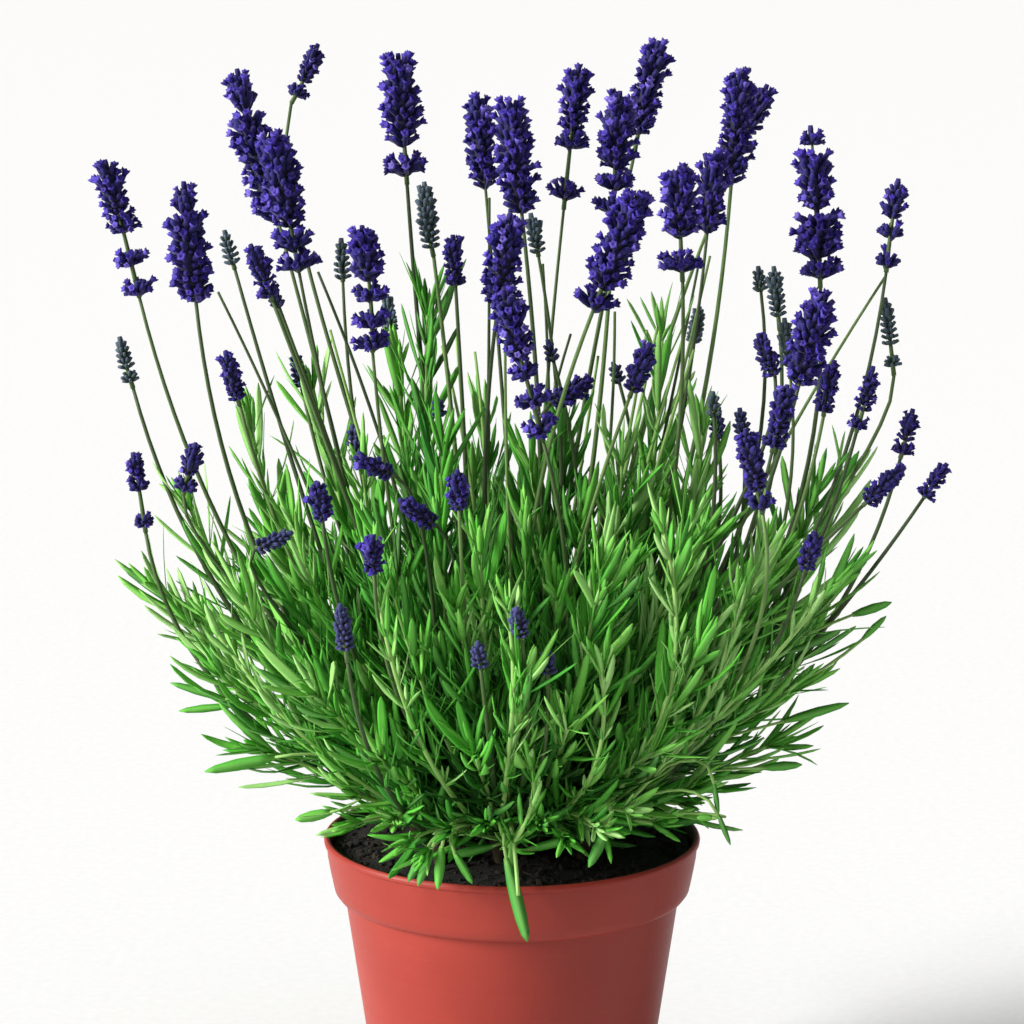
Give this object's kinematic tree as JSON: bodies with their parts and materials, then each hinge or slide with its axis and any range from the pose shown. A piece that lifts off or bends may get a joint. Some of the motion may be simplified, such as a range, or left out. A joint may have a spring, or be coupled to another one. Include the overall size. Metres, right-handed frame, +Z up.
{
  "type": "potted lavender",
  "caption": "Lavender in flower in a round tapered plastic nursery pot: narrow green leaves low down, violet spikes on thin stalks above.",
  "frame": {"origin": "centre of the pot's flat base, on the surface it stands on", "axes": "+Z up along the pot's axis; -Y towards the viewer of the picture; +X to the right of the picture"},
  "size_m": [0.266, 0.2291, 0.3526],
  "materials": {
    "pot_plastic": "terracotta-red moulded plastic, satin, slightly scuffed",
    "compost": "dark moist peat compost, rough",
    "green": "matt leaves and stems, bright green, greyer on the stalks",
    "violet": "matt blue-violet florets"
  },
  "bodies": {
    "root": {"pot": "pot_plastic", "compost": "compost", "shoot_01": "green", "shoot_02": "green", "shoot_03": "green", "shoot_04": "green", "shoot_05": "green", "shoot_06": "green", "shoot_07": "green", "shoot_08": "green", "shoot_09": "green", "shoot_10": "green", "shoot_11": "green", "shoot_12": "green", "shoot_13": "green", "shoot_14": "green", "shoot_15": "green", "flower_01": "violet", "flower_02": "violet", "flower_03": "violet", "flower_04": "violet", "flower_05": "violet", "flower_06": "violet", "flower_07": "violet", "flower_08": "violet", "flower_09": "violet", "flower_10": "violet", "flower_11": "violet", "flower_12": "violet", "flower_13": "violet", "flower_14": "violet", "flower_15": "violet", "flower_16": "violet", "flower_17": "violet", "flower_18": "violet", "flower_19": "violet", "flower_20": "violet", "flower_21": "violet", "flower_22": "violet", "flower_23": "violet", "flower_24": "violet", "flower_25": "violet", "flower_26": "violet", "flower_27": "violet", "flower_28": "violet", "flower_29": "violet", "flower_30": "violet", "flower_31": "violet", "flower_32": "violet", "flower_33": "violet", "flower_34": "violet", "flower_35": "violet", "flower_36": "violet", "flower_37": "violet", "flower_38": "violet", "flower_39": "violet", "flower_40": "violet", "flower_41": "violet", "flower_42": "violet", "flower_43": "violet"}
  },
  "joints": []
}
